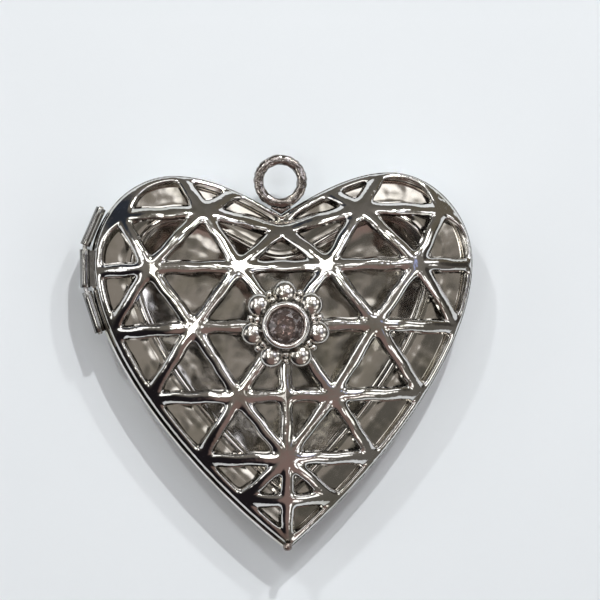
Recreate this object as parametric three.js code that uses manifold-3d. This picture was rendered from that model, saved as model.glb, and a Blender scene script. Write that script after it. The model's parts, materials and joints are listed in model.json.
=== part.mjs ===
// Openwork heart locket with a flower rosette, lying closed on its back.
// Millimetres. +Z points out of the front cover and +Y towards the suspension ring. The origin is
// on the flat back, straight under the centre of the rosette.
import * as THREE from 'three';
import { mergeVertices } from 'three/addons/utils/BufferGeometryUtils.js';
import Module from 'manifold-3d';

const wasm = await Module();
wasm.setup();

// ---------------------------------------------------------------- driving dimensions
const HALF_WIDTH = 14.33; // heart's half width at its widest
const WIDEST_Y = 4.7;
const TIP_Y = -16.75;
const LOBE_TOP = { x: 8.05, y: 11.4 };
const CLEFT_Y = 8.3;
const HALF_POINTS = 32; // stations along half of the outline

const GAP = 0.03; // between pieces that touch

const SHELL = { sheet: 0.6, round: 5.2, roundTop: 3.0, ledge: 3.1, lip: 3.6, lipWall: 0.25 };

// The cover's skirt drops inside the lip, and its edge rests over the lip.
const DOME = {
  skirt: 0.33, foot: 3.13, edge: 0.04, spring: 3.78, reach: 6.8, rise: 3.1, sheet: 0.6,
};
const CAP = { inset: 4.6, rise: 0.75, centre: new THREE.Vector2(0, -1) };
const COVER_SHIFT = { x: 0.26, y: 0.2 }; // the cover sits off centre and bares the lip at lower left

const STRUT_WIDTH = 0.84;
const NODE_RADIUS = 0.95;
const RIM_BAND = 0.64; // solid band of the cover inside its own edge, in plan

const HINGE_Z = 3.45;
const KNUCKLE = { outer: 0.38, bore: 0.2, sides: 16 };
const PIN = { radius: 0.175, overhang: 0.04, bendGap: 0.1, sides: 12 };
const HINGE_X = -14.7;
const MIDDLE_KNUCKLE = [[HINGE_X, 3.14], [HINGE_X, 6.02]];
const UPPER_KNUCKLE = [[-14.68, 6.3], [-13.42, 9.06]];
const LOWER_KNUCKLE = [[-14.6, 2.84], [-13.68, -0.2]];
const HINGE_TAB = { width: 0.9, thickness: 0.34, middle: -14.15, endGap: 0.1 };

const RING = { centre: 10.84, radius: 1.625, halfWidth: 0.4, halfHeight: 0.32, soft: 0.14, z: 3.4 };
const LUG = { half: 0.75, foot: CLEFT_Y + 0.05, length: 1.2, thickness: 0.5 };
const ROSETTE = { petals: 7, base: 2.1, plate: 0.34 };
const PETAL = { radius: 0.9, height: 0.64, orbit: 2.44, lift: 0.5, sides: 12, rings: 8 };
const INNER_BEAD = { radius: 0.28, height: 0.28, orbit: 2.1, lift: 0.6, sides: 7, rings: 5 };
const OUTER_BEAD = { radius: 0.3, height: 0.3, orbit: 2.6, lift: 0.42, sides: 7, rings: 5 };
const CUP = { outer: 1.74, lip: 1.33, height: 1.4, floor: 0.3 };
const STONE = {
  girdle: 1.28, table: 0.72, crown: 0.42, belt: 0.1, pavilion: 0.72, belowLip: 0.16, facets: 12,
};
const RIVET = { shank: 0.3, head: 0.62, headHeight: 0.24, overlap: 0.1, short: 0.05 };
const NIB = { radius: 0.4, squash: [0.85, 0.9, 1], fromTip: 0.34, rise: 0.32 };


// ---------------------------------------------------------------- heart outline
const polar = (length, degrees) => {
  const angle = THREE.MathUtils.degToRad(degrees);
  return new THREE.Vector2(length * Math.cos(angle), length * Math.sin(angle));
};

// Right half of the outline, from the tip round the lobe to the cleft.
function halfOutline() {
  const tip = new THREE.Vector2(0, TIP_Y);
  const widest = new THREE.Vector2(HALF_WIDTH, WIDEST_Y);
  const top = new THREE.Vector2(LOBE_TOP.x, LOBE_TOP.y);
  const cleft = new THREE.Vector2(0, CLEFT_Y);
  const path = new THREE.CurvePath();
  path.add(new THREE.CubicBezierCurve(
    tip, tip.clone().add(polar(7, 38)), widest.clone().add(polar(7.5, -90)), widest));
  path.add(new THREE.CubicBezierCurve(
    widest, widest.clone().add(polar(3.4, 90)), top.clone().add(polar(3.5, 0)), top));
  path.add(new THREE.CubicBezierCurve(
    top, top.clone().add(polar(3.2, 180)), cleft.clone().add(polar(1.6, 32)), cleft));
  return path;
}

const OUTLINE = halfOutline();
const CLEFT_TANGENT = OUTLINE.curves[2].getTangent(1);

// A polyline cut into equal steps along its length.
function evenSteps(points, steps) {
  const lengths = [0];
  for (let i = 1; i < points.length; i++) {
    lengths.push(lengths[i - 1] + points[i].distanceTo(points[i - 1]));
  }
  const total = lengths[lengths.length - 1];
  const result = [];
  let at = 0;
  for (let step = 0; step <= steps; step++) {
    const target = total * step / steps;
    while (at < points.length - 2 && lengths[at + 1] < target) at++;
    const share = (target - lengths[at]) / (lengths[at + 1] - lengths[at]);
    result.push(points[at].clone().lerp(points[at + 1], share));
  }
  return result;
}

// The closed heart loop a given distance inside the outline, anticlockwise from the tip.
function heartLoop(inset, steps = HALF_POINTS) {
  const right = [];
  const samples = 240;
  for (let i = 0; i <= samples; i++) {
    const curve = OUTLINE.curves[Math.min(2, Math.floor(3 * i / samples))];
    const t = Math.min(1, 3 * i / samples - OUTLINE.curves.indexOf(curve));
    const tangent = curve.getTangent(t);
    const inward = new THREE.Vector2(-tangent.y, tangent.x);
    const point = curve.getPoint(t).addScaledVector(inward, inset);
    if (point.x < 1e-6) continue;
    right.push(point);
  }
  const [first, second] = right;
  const slope = (second.y - first.y) / (second.x - first.x);
  right.unshift(new THREE.Vector2(0, inset > 0 ? first.y - slope * first.x : TIP_Y));
  const start = Math.atan2(CLEFT_TANGENT.x, -CLEFT_TANGENT.y);
  const arcSteps = 6;
  for (let i = 1; i <= arcSteps; i++) {
    const angle = THREE.MathUtils.lerp(start, -Math.PI / 2, i / arcSteps);
    right.push(new THREE.Vector2(Math.cos(angle) * inset, CLEFT_Y + Math.sin(angle) * inset));
  }
  right[right.length - 1].x = 0;
  const half = evenSteps(right, steps);
  const left = half.slice(1, -1).reverse().map((p) => new THREE.Vector2(-p.x, p.y));
  return half.concat(left);
}

// ---------------------------------------------------------------- solids
function toSolid(geometry) {
  geometry.deleteAttribute('normal');
  geometry.deleteAttribute('uv');
  const merged = mergeVertices(geometry, 1e-5);
  return new wasm.Manifold(new wasm.Mesh({
    numProp: 3,
    vertProperties: new Float32Array(merged.attributes.position.array),
    triVerts: new Uint32Array(merged.index.array),
  }));
}

function toGeometry(solid) {
  const mesh = solid.getMesh();
  const geometry = new THREE.BufferGeometry();
  geometry.setAttribute('position', new THREE.BufferAttribute(mesh.vertProperties, 3));
  geometry.setIndex(new THREE.BufferAttribute(mesh.triVerts, 1));
  geometry.computeVertexNormals();
  return geometry;
}

// Indexed geometry from rows of points: rows[i] is one closed loop of [x, y, z] points.
function loopGeometry(rows, faces) {
  const geometry = new THREE.BufferGeometry();
  const positions = new Float32Array(rows.flat().flat());
  geometry.setAttribute('position', new THREE.BufferAttribute(positions, 3));
  geometry.setIndex(faces);
  return geometry;
}

function bandFaces(lower, upper, count) {
  const faces = [];
  for (let i = 0; i < count; i++) {
    const next = (i + 1) % count;
    faces.push(lower + i, lower + next, upper + next, lower + i, upper + next, upper + i);
  }
  return faces;
}

// A closed solid through a stack of heart loops, lowest first. Each ring is {inset, z}, and the
// rings with a share are the ring before them drawn in towards the middle of the cover.
function heartStack(rings) {
  const loops = rings.map(({ inset, share = 1 }) =>
    heartLoop(inset).map((p) => p.clone().sub(CAP.centre).multiplyScalar(share).add(CAP.centre)));
  const count = loops[0].length;
  const rows = loops.map((loop, i) => loop.map((p) => [p.x, p.y, rings[i].z]));
  const faces = [];
  for (let i = 0; i + 1 < rows.length; i++) {
    faces.push(...bandFaces(i * count, (i + 1) * count, count));
  }
  const last = (rows.length - 1) * count;
  for (const [a, b, c] of THREE.ShapeUtils.triangulateShape(loops[0], [])) {
    faces.push(a, c, b);
  }
  for (const [a, b, c] of THREE.ShapeUtils.triangulateShape(loops[loops.length - 1], [])) {
    faces.push(last + a, last + b, last + c);
  }
  return toSolid(loopGeometry(rows, faces));
}

// A closed heart-shaped hoop. Its section is the loop of {inset, z} points, taken clockwise when
// the inset runs to the left.
function heartHoop(section) {
  const count = 2 * HALF_POINTS;
  const rows = section.map(({ inset, z }) => heartLoop(inset).map((p) => [p.x, p.y, z]));
  const faces = [];
  for (let i = 0; i < rows.length; i++) {
    faces.push(...bandFaces(i * count, ((i + 1) % rows.length) * count, count));
  }
  return toSolid(loopGeometry(rows, faces));
}

function placed(geometry, x, y, z) {
  return toSolid(geometry.translate(x, y, z));
}

function disc(radius, low, high, x = 0, y = 0, sides = 24) {
  const geometry = new THREE.CylinderGeometry(radius, radius, high - low, sides);
  geometry.rotateX(Math.PI / 2);
  return placed(geometry, x, y, (low + high) / 2);
}

// A round bar between two points of the plan, at the hinge's height.
function hingeBar([x1, y1], [x2, y2], radius, sides = KNUCKLE.sides, extra = 0) {
  const length = Math.hypot(x2 - x1, y2 - y1) + 2 * extra;
  const geometry = new THREE.CylinderGeometry(radius, radius, length, sides);
  geometry.rotateZ(Math.atan2(y2 - y1, x2 - x1) - Math.PI / 2);
  return placed(geometry, (x1 + x2) / 2, (y1 + y2) / 2, HINGE_Z);
}

const union = (solids) => solids.reduce((sum, solid) => sum.add(solid));

// ---------------------------------------------------------------- back shell
const quarter = (steps) => Array.from({ length: steps + 1 }, (_, i) => (i / steps) * Math.PI / 2);

// Quarter-ellipse wall from the flat bottom up to the rim, drawn in by the sheet's thickness.
function dishRings(thickness, steps) {
  const { round, roundTop } = SHELL;
  return quarter(steps).map((u) => ({
    inset: round - (round - thickness) * Math.sin(u),
    z: roundTop - (roundTop - thickness) * Math.cos(u),
  }));
}

function buildBackShell() {
  const outer = heartStack([...dishRings(0, 6), { inset: 0, z: SHELL.lip }]);
  const cavity = heartStack([
    ...dishRings(SHELL.sheet, 6),
    { inset: SHELL.sheet, z: SHELL.ledge },
    { inset: SHELL.lipWall, z: SHELL.ledge },
    { inset: SHELL.lipWall, z: SHELL.lip + 1 },
  ]);
  const clearances = [UPPER_KNUCKLE, MIDDLE_KNUCKLE, LOWER_KNUCKLE].map(([a, b]) =>
    hingeBar(a, b, KNUCKLE.outer + GAP, KNUCKLE.sides, 0.1));
  const [low, high] = MIDDLE_KNUCKLE.map((end) => end[1]);
  const notchWidth = 1.2;
  const notchHeight = 1;
  const notch = new THREE.BoxGeometry(notchWidth, high - low + 0.3, notchHeight);
  return outer
    .subtract(cavity)
    .subtract(union(clearances))
    .subtract(placed(notch, -HALF_WIDTH, (low + high) / 2, SHELL.ledge + notchHeight / 2));
}

// ---------------------------------------------------------------- front cover
// Half of the lattice: the mirror image makes the other half. Rows run from the cleft down.
const JOINTS = {
  cleft: [0, 7.25],
  lobe: [5.85, 8.65],
  lobeOuterRim: [7.35, 11.2],
  lobeInnerRim: [3.45, 10.0],
  shoulder: [12.0, 8.45],
  upperInner: [3.28, 4.45],
  upperOuter: [9.95, 4.45],
  upperRim: [14.1, 4.3],
  centre: [0, 0],
  middle: [6.72, 0],
  middleRim: [13.1, -0.35],
  barUpper: [0, -5.17],
  lower: [3.52, -5.17],
  lowerRim: [10.2, -5.2],
  barLower: [0, -9.8],
  footRim: [6.5, -9.9],
  barFoot: [0, -12.95],
  toeRim: [3.4, -12.9],
  tip: [0, -16.0],
};

const STRUTS = [
  ['cleft', 'lobe'], ['lobe', 'shoulder'], ['lobe', 'lobeOuterRim'], ['lobe', 'lobeInnerRim'],
  ['cleft', 'upperInner'], ['lobe', 'upperInner'], ['lobe', 'upperOuter'], ['shoulder', 'upperOuter'],
  ['upperInner', 'upperOuter'], ['upperOuter', 'upperRim'], ['upperOuter', 'middleRim'],
  ['upperOuter', 'middle'], ['upperInner', 'middle'], ['upperInner', 'centre'],
  ['centre', 'middle'], ['middle', 'middleRim'], ['middle', 'lowerRim'], ['middle', 'lower'],
  ['centre', 'lower'], ['barUpper', 'lower'], ['lower', 'lowerRim'], ['lower', 'footRim'],
  ['lower', 'barLower'], ['barLower', 'footRim'], ['barLower', 'toeRim'], ['barFoot', 'toeRim'],
];
const MIDDLE_STRUTS = [['centre', 'barUpper'], ['barUpper', 'barLower'], ['barLower', 'tip']];
const FAT_JOINTS = ['lobe', 'upperInner', 'upperOuter', 'middle', 'lower', 'shoulder'];
const MIDDLE_JOINTS = ['cleft', 'centre', 'barLower'];

const STENCIL = { low: 3, high: 8.5, discSides: 10 };

function strutBlock([x1, y1], [x2, y2]) {
  const length = Math.hypot(x2 - x1, y2 - y1);
  const geometry = new THREE.BoxGeometry(length, STRUT_WIDTH, STENCIL.high - STENCIL.low);
  geometry.rotateZ(Math.atan2(y2 - y1, x2 - x1));
  return placed(geometry, (x1 + x2) / 2, (y1 + y2) / 2, (STENCIL.low + STENCIL.high) / 2);
}

const mirrored = ([x, y]) => [-x, y];

// Everything of the lattice in plan, as upright blocks.
function stencil() {
  const blocks = [];
  for (const [from, to] of STRUTS) {
    blocks.push(strutBlock(JOINTS[from], JOINTS[to]));
    blocks.push(strutBlock(mirrored(JOINTS[from]), mirrored(JOINTS[to])));
  }
  blocks.push(strutBlock(mirrored(JOINTS.upperInner), JOINTS.upperInner));
  for (const [from, to] of MIDDLE_STRUTS) blocks.push(strutBlock(JOINTS[from], JOINTS[to]));
  for (const name of FAT_JOINTS) {
    const [x, y] = JOINTS[name];
    blocks.push(disc(NODE_RADIUS, STENCIL.low, STENCIL.high, x, y, STENCIL.discSides));
    blocks.push(disc(NODE_RADIUS, STENCIL.low, STENCIL.high, -x, y, STENCIL.discSides));
  }
  for (const name of MIDDLE_JOINTS) {
    const [x, y] = JOINTS[name];
    blocks.push(disc(NODE_RADIUS, STENCIL.low, STENCIL.high, x, y, STENCIL.discSides));
  }
  const whole = heartStack([{ inset: 0, z: STENCIL.low }, { inset: 0, z: STENCIL.high }]);
  const opening = heartStack([
    { inset: RIM_BAND, z: STENCIL.low - 1 },
    { inset: RIM_BAND, z: STENCIL.high + 1 },
  ]);
  const shift = [COVER_SHIFT.x, COVER_SHIFT.y, 0];
  const outline = whole.translate(shift);
  return union([outline.subtract(opening.translate(shift)), ...blocks]).intersect(outline);
}

// Height of the dome's shoulder at a share of its reach, and how steep it is there.
const shoulderHeight = (share) => DOME.spring + DOME.rise * (1 - (1 - share) ** 2);
const shoulderSlope = (share) => (2 * DOME.rise * (1 - share)) / DOME.reach;
const CAP_START = (CAP.inset - DOME.edge) / DOME.reach;

// Rings of the dome's skin, a given distance under its outer face: a shoulder that flattens as it
// climbs, then a gentle cap.
function domeRings(under, steps) {
  const rings = [];
  for (let i = 0; i <= steps; i++) {
    const share = (CAP_START * i) / steps;
    const tilt = Math.atan(shoulderSlope(share));
    rings.push({
      inset: DOME.edge + DOME.reach * share + under * Math.sin(tilt),
      z: shoulderHeight(share) - under * Math.cos(tilt),
    });
  }
  const { inset, z: edge } = rings[rings.length - 1];
  for (const share of [0.66, 0.33, 0.05]) {
    rings.push({ inset, share, z: edge + CAP.rise * (1 - share * share) });
  }
  return rings;
}

// The cover's domed blank: a skirt inside the lip, an edge that rests over it, and the dome. A
// clearance makes everything that much larger.
function coverBlank(clearance = 0) {
  const skirt = DOME.skirt - clearance;
  const edge = DOME.edge - clearance;
  const ledge = SHELL.lip + GAP - clearance;
  return heartStack([
    { inset: skirt, z: DOME.foot },
    { inset: skirt, z: ledge },
    { inset: edge, z: ledge },
    ...domeRings(-clearance, 5),
  ]);
}

// The space under the dome and inside the skirt.
function coverHollow() {
  const rings = domeRings(DOME.sheet, 5);
  const skirt = DOME.skirt + DOME.sheet;
  const above = rings.filter((ring) => ring.inset > skirt);
  return heartStack([{ inset: skirt, z: DOME.foot - 1 }, { inset: skirt, z: above[0].z }, ...above]);
}

function buildFrontCover() {
  const shell = coverBlank().subtract(coverHollow());
  const [low, high] = MIDDLE_KNUCKLE.map((end) => end[1]);
  const { width, thickness, middle, endGap } = HINGE_TAB;
  const tab = new THREE.BoxGeometry(width, high - low - 2 * endGap, thickness);
  const hinge = placed(tab, middle, (low + high) / 2, HINGE_Z)
    .subtract(hingeBar(...MIDDLE_KNUCKLE, KNUCKLE.outer + GAP));
  const rivetHole = disc(RIVET.shank + GAP, STENCIL.low, STENCIL.high);
  return shell.intersect(stencil()).add(hinge).subtract(rivetHole);
}

// ---------------------------------------------------------------- hinge
function buildKnuckle([a, b]) {
  return hingeBar(a, b, KNUCKLE.outer).subtract(hingeBar(a, b, KNUCKLE.bore, KNUCKLE.sides, 0.2));
}

// A round wire at the hinge's height through the given points of the plan, mitred at its bends.
function bentWire(points, radius, sides) {
  const path = points.map(([x, y]) => new THREE.Vector2(x, y));
  const rows = path.map((point, i) => {
    const before = point.clone().sub(path[Math.max(i - 1, 0)]).normalize();
    const after = path[Math.min(i + 1, path.length - 1)].clone().sub(point).normalize();
    const along = before.clone().add(after).normalize();
    const leg = after.lengthSq() > 0 ? after : before;
    const stretch = radius / along.dot(leg);
    return Array.from({ length: sides }, (_, k) => {
      const angle = (2 * Math.PI * k) / sides;
      const side = stretch * Math.cos(angle);
      return [
        point.x - along.y * side, point.y + along.x * side, HINGE_Z + radius * Math.sin(angle),
      ];
    });
  });
  const faces = [];
  for (let i = 0; i + 1 < rows.length; i++) {
    faces.push(...bandFaces(i * sides, (i + 1) * sides, sides));
  }
  const last = (rows.length - 1) * sides;
  for (let k = 1; k + 1 < sides; k++) {
    faces.push(0, k + 1, k, last, last + k, last + k + 1);
  }
  return toSolid(loopGeometry(rows, faces));
}

// One wire: straight through the middle tube, and bent to follow the heart's edge on either side.
function buildHingePin() {
  const { radius, overhang, bendGap, sides } = PIN;
  const beyond = ([x1, y1], [x2, y2]) => [x2 + overhang * (x2 - x1), y2 + overhang * (y2 - y1)];
  const [[, low], [, high]] = MIDDLE_KNUCKLE;
  return bentWire([
    beyond(...LOWER_KNUCKLE),
    LOWER_KNUCKLE[0],
    [HINGE_X, low - bendGap],
    [HINGE_X, high + bendGap],
    UPPER_KNUCKLE[0],
    beyond(...UPPER_KNUCKLE),
  ], radius, sides);
}

// ---------------------------------------------------------------- ring at the cleft
// A flat ring with rounded edges, grown by a clearance.
function flatRing(clearance = 0) {
  const wide = RING.halfWidth + clearance;
  const tall = RING.halfHeight + clearance;
  const { soft, radius } = RING;
  const corner = [[wide, tall - soft], [wide - 0.3 * soft, tall - 0.3 * soft], [wide - soft, tall]];
  const upper = [...corner, ...corner.map(([x, z]) => [-x, z]).reverse()];
  const section = [...upper, ...upper.map(([x, z]) => [-x, -z])];
  const sides = 32;
  const rows = Array.from({ length: sides }, (_, i) => {
    const angle = (2 * Math.PI * i) / sides;
    return section.map(([x, z]) => [
      (radius + x) * Math.cos(angle), RING.centre + (radius + x) * Math.sin(angle), RING.z + z,
    ]);
  });
  const faces = [];
  for (let i = 0; i < sides; i++) {
    const next = (i + 1) % sides;
    faces.push(...bandFaces(next * section.length, i * section.length, section.length));
  }
  return toSolid(loopGeometry(rows, faces));
}

// Solder lug that fills the cleft's V up to the ring.
function buildRingLug() {
  const rise = Math.abs(CLEFT_TANGENT.y / CLEFT_TANGENT.x);
  const { half, foot, length, thickness } = LUG;
  const shape = new THREE.Shape([
    new THREE.Vector2(0, foot),
    new THREE.Vector2(half, foot + rise * half),
    new THREE.Vector2(half, foot + length),
    new THREE.Vector2(-half, foot + length),
    new THREE.Vector2(-half, foot + rise * half),
  ]);
  const wedge = new THREE.ExtrudeGeometry(shape, { depth: thickness, bevelEnabled: false });
  const parts = placed(wedge, 0, 0, RING.z - thickness / 2).subtract(flatRing(GAP)).decompose();
  return parts.reduce((lowest, part) =>
    (part.boundingBox().min[1] < lowest.boundingBox().min[1] ? part : lowest));
}

// ---------------------------------------------------------------- photo frame
// A flat flange whose slanted edge follows the shell's wall, a rolled bead round the window, and a
// skirt down towards the floor.
const FRAME = {
  seat: 2.1, foot: 0.92, sheet: 0.36, outer: 1.02, brim: 0.87, bead: 3.2, beadHalf: 0.4, rise: 0.44,
};

function buildPhotoFrame() {
  const { seat, foot, sheet, outer, brim, bead, beadHalf, rise } = FRAME;
  const top = seat + sheet;
  const soft = 0.1;
  return heartHoop([
    { inset: outer, z: seat },
    { inset: brim, z: top - soft },
    { inset: brim + soft, z: top },
    { inset: bead - beadHalf, z: top },
    { inset: bead - beadHalf / 2, z: top + 0.7 * rise },
    { inset: bead, z: top + rise },
    { inset: bead + beadHalf / 2, z: top + 0.7 * rise },
    { inset: bead + 0.9 * beadHalf, z: top },
    { inset: bead + beadHalf, z: foot },
    { inset: bead + soft, z: foot },
    { inset: bead, z: seat },
  ]);
}

// ---------------------------------------------------------------- rosette
const DOME_TOP = shoulderHeight(CAP_START) + CAP.rise;
const PLATE_FOOT = DOME_TOP + GAP;
const CUP_FOOT = PLATE_FOOT + ROSETTE.plate + GAP;
const GIRDLE_Z = CUP_FOOT + CUP.height - STONE.belowLip;

// A petal or bead of the flower: a flattened ball on its own circle about the centre.
function flowerBall({ radius, height, orbit, lift, sides, rings }, angle) {
  const ball = new THREE.SphereGeometry(radius, sides, rings).scale(1, 1, height / radius);
  return placed(ball, orbit * Math.cos(angle), orbit * Math.sin(angle), PLATE_FOOT + lift);
}

function buildRosette() {
  const { petals, base, plate } = ROSETTE;
  const solids = [disc(base, PLATE_FOOT, PLATE_FOOT + plate, 0, 0, 28)];
  for (let i = 0; i < petals; i++) {
    const angle = Math.PI / 2 + (2 * Math.PI * i) / petals;
    const between = angle + Math.PI / petals;
    solids.push(flowerBall(PETAL, angle));
    solids.push(flowerBall(INNER_BEAD, between));
    solids.push(flowerBall(OUTER_BEAD, between));
  }
  const under = new THREE.BoxGeometry(8, 8, 2);
  return union(solids)
    .subtract(placed(under, 0, 0, PLATE_FOOT - 1))
    .subtract(disc(CUP.outer + GAP, CUP_FOOT - GAP, CUP_FOOT + 3))
    .subtract(disc(RIVET.shank + GAP, PLATE_FOOT - 1, PLATE_FOOT + 1));
}

function lathe(points, sides) {
  const geometry = new THREE.LatheGeometry(points.map(([r, z]) => new THREE.Vector2(r, z)), sides);
  return toSolid(geometry.rotateX(Math.PI / 2));
}

function buildStoneCup() {
  const { outer, lip, height, floor } = CUP;
  const top = CUP_FOOT + height;
  const seat = GIRDLE_Z - STONE.belt / 2 - GAP;
  const hole = RIVET.shank + GAP;
  return lathe([
    [hole, CUP_FOOT],
    [outer - 0.15, CUP_FOOT],
    [outer, CUP_FOOT + 0.15],
    [outer, top - 0.25],
    [outer - 0.08, top - 0.07],
    [(outer + lip) / 2, top],
    [lip + 0.04, top - 0.05],
    [lip, top - 0.14],
    [lip, seat],
    [0.62, CUP_FOOT + floor],
    [hole, CUP_FOOT + floor],
    [hole, CUP_FOOT],
  ], 28);
}

// Round-cut stone: table, crown, girdle and a pointed pavilion.
function buildCrystal() {
  const { girdle, table, crown, belt, pavilion, facets } = STONE;
  return lathe([
    [0, GIRDLE_Z - belt / 2 - pavilion],
    [girdle, GIRDLE_Z - belt / 2],
    [girdle, GIRDLE_Z + belt / 2],
    [table, GIRDLE_Z + belt / 2 + crown],
    [0, GIRDLE_Z + belt / 2 + crown],
  ], facets);
}

function buildRivet() {
  const { shank, head, headHeight, overlap, short } = RIVET;
  const inside = DOME_TOP - DOME.sheet - 2 * GAP;
  return disc(head, inside - headHeight, inside, 0, 0, 16)
    .add(disc(shank, inside - overlap, CUP_FOOT + CUP.floor - short, 0, 0, 12));
}

// ---------------------------------------------------------------- catch at the tip
// A small nib on the cover's tip that hooks over the back shell's lip.
function buildTipCatch() {
  const body = new THREE.SphereGeometry(NIB.radius, 14, 10);
  body.scale(...NIB.squash);
  return placed(body, 0, TIP_Y + NIB.fromTip, SHELL.lip + NIB.rise)
    .subtract(heartStack([
      { inset: 0, z: 0 },
      { inset: 0, z: SHELL.lip + GAP },
    ]))
    .subtract(coverBlank(GAP).intersect(stencil()))
    .decompose()
    .reduce((largest, part) => (part.volume() > largest.volume() ? part : largest));
}

// ---------------------------------------------------------------- assembly
const plating = (color, roughness) =>
  new THREE.MeshStandardMaterial({ color, roughness, metalness: 1 });
const BRIGHT = 0xc9c8c6;
const GREY = 0xb4b1ad;

const group = new THREE.Group();

function addPart(name, solid, material) {
  const mesh = new THREE.Mesh(toGeometry(solid), material);
  mesh.name = name;
  group.add(mesh);
}

addPart('back_shell', buildBackShell(), plating(GREY, 0.12));
addPart('back_photo_frame', buildPhotoFrame(), plating(GREY, 0.1));
addPart('front_cover', buildFrontCover(), plating(BRIGHT, 0.08));
addPart('upper_knuckle', buildKnuckle(UPPER_KNUCKLE), plating(GREY, 0.15));
addPart('middle_knuckle', buildKnuckle(MIDDLE_KNUCKLE), plating(BRIGHT, 0.15));
addPart('lower_knuckle', buildKnuckle(LOWER_KNUCKLE), plating(GREY, 0.15));
addPart('hinge_pin', buildHingePin(), plating(GREY, 0.3));
addPart('suspension_ring', flatRing(), plating(BRIGHT, 0.2));
addPart('ring_lug', buildRingLug(), plating(BRIGHT, 0.25));
addPart('rosette', buildRosette(), plating(BRIGHT, 0.08));
addPart('stone_cup', buildStoneCup(), plating(BRIGHT, 0.06));
addPart('crystal', buildCrystal(), new THREE.MeshStandardMaterial({
  color: 0x4a3d38,
  roughness: 0.02,
  metalness: 0.1,
}));
addPart('rosette_rivet', buildRivet(), plating(GREY, 0.3));
addPart('tip_catch', buildTipCatch(), plating(BRIGHT, 0.15));

export default group;
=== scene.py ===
"""The looks of an openwork heart locket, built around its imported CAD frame.

Lengths are in millimetres while a piece is built and become metres when its mesh is made. The
frame's axes hold everywhere: +Z out of the cover, +Y towards the ring, the hinge on the -X side.
"""

import json
import math

import bpy
import numpy as np
from mathutils import Matrix, Vector, noise
from mathutils.kdtree import KDTree


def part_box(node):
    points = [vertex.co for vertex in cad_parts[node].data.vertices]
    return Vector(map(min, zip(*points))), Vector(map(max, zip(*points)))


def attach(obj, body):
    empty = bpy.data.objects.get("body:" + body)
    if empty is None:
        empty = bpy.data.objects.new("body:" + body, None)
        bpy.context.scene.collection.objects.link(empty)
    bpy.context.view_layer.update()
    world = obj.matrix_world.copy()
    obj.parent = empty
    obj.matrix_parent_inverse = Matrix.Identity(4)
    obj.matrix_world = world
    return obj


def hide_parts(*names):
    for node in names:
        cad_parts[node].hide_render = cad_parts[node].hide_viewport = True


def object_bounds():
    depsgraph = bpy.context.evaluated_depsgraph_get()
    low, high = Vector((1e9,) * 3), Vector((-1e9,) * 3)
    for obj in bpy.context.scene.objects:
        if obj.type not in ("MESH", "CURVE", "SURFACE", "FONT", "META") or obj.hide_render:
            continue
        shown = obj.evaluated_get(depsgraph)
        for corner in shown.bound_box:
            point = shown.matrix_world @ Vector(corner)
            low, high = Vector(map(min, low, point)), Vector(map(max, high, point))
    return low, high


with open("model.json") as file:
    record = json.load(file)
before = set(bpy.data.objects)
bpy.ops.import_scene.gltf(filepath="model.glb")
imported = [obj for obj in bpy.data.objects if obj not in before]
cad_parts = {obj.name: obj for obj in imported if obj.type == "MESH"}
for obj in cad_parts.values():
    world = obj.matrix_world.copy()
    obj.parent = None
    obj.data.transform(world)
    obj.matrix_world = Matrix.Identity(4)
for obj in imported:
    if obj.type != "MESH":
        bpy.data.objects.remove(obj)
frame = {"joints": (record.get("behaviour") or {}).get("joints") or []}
CAD_LOW, CAD_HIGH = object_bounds()
MM = 0.001


def box_mm(node):
    """Lowest and highest corner of a CAD node, in millimetres."""
    low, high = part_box(node)
    return np.array(low) / MM, np.array(high) / MM


# ------------------------------ sizes taken from the frame
SHELL_LOW, SHELL_HIGH = box_mm("back_shell")
COVER_LOW = box_mm("front_cover")[0]
FRAME_FOOT = box_mm("back_photo_frame")[0][2]
RING_LOW, RING_HIGH = box_mm("suspension_ring")
ROSE_FOOT = box_mm("rosette")[0][2]
CUP_LOW, CUP_HIGH = box_mm("stone_cup")
STONE_LOW, STONE_HIGH = box_mm("crystal")
HINGE_X, _, HINGE_Z = (value / MM for value in frame["joints"][0]["pos_m"])

# Heart outline: three Bezier curves from the tip, round the lobe, to the cleft. Each handle is a
# length and a direction in degrees.
HALF_WIDTH = SHELL_HIGH[0]
TIP_Y = SHELL_LOW[1]
LOBE_TOP_Y = SHELL_HIGH[1]
WIDEST_Y = 4.7
LOBE_TOP_X = 8.05
CLEFT_Y = 8.3
TIP_HANDLE = (7, 38)
WIDEST_LOWER_HANDLE = (7.5, -90)
WIDEST_UPPER_HANDLE = (3.4, 90)
LOBE_OUTER_HANDLE = (3.5, 0)
LOBE_INNER_HANDLE = (3.2, 180)
CLEFT_HANDLE = (1.6, 32)

# Section of the back shell, and the room beside the hinge tab in its lip.
SHEET = 0.6
SHELL_ROUND = 5.2
SHELL_ROUND_TOP = 3.0
LEDGE_Z = 3.1
LIP_Z = SHELL_HIGH[2]
LIP_WALL = 0.25
LIP_CHAMFER = 0.26
LIP_BEAD = 0.04
NOTCH_GAP = 0.12

# Dome of the cover: a skirt inside the lip, an edge resting over it, a shoulder and a cap that
# takes over from it smoothly.
SKIRT_INSET = 0.33
SKIRT_WALL = 0.3
DOME_FOOT = COVER_LOW[2]
DOME_EDGE = 0.04
DOME_SPRING = 3.78
DOME_REACH = 6.8
DOME_RISE = 3.1
CAP_INSET = 4.6
CAP_RISE = 0.75
CAP_CENTRE = np.array([0.0, -1.0])
CAP_BLEND_LEAD = 1.3
CAP_BLEND_LENGTH = 2.4
CLEFT_SOFTNESS = 0.45
COVER_THICKNESS = 0.72
LEAST_THICKNESS = 0.06
EDGE_GAP = 0.03
COVER_SHIFT = np.array([0.26, 0.2])


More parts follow.
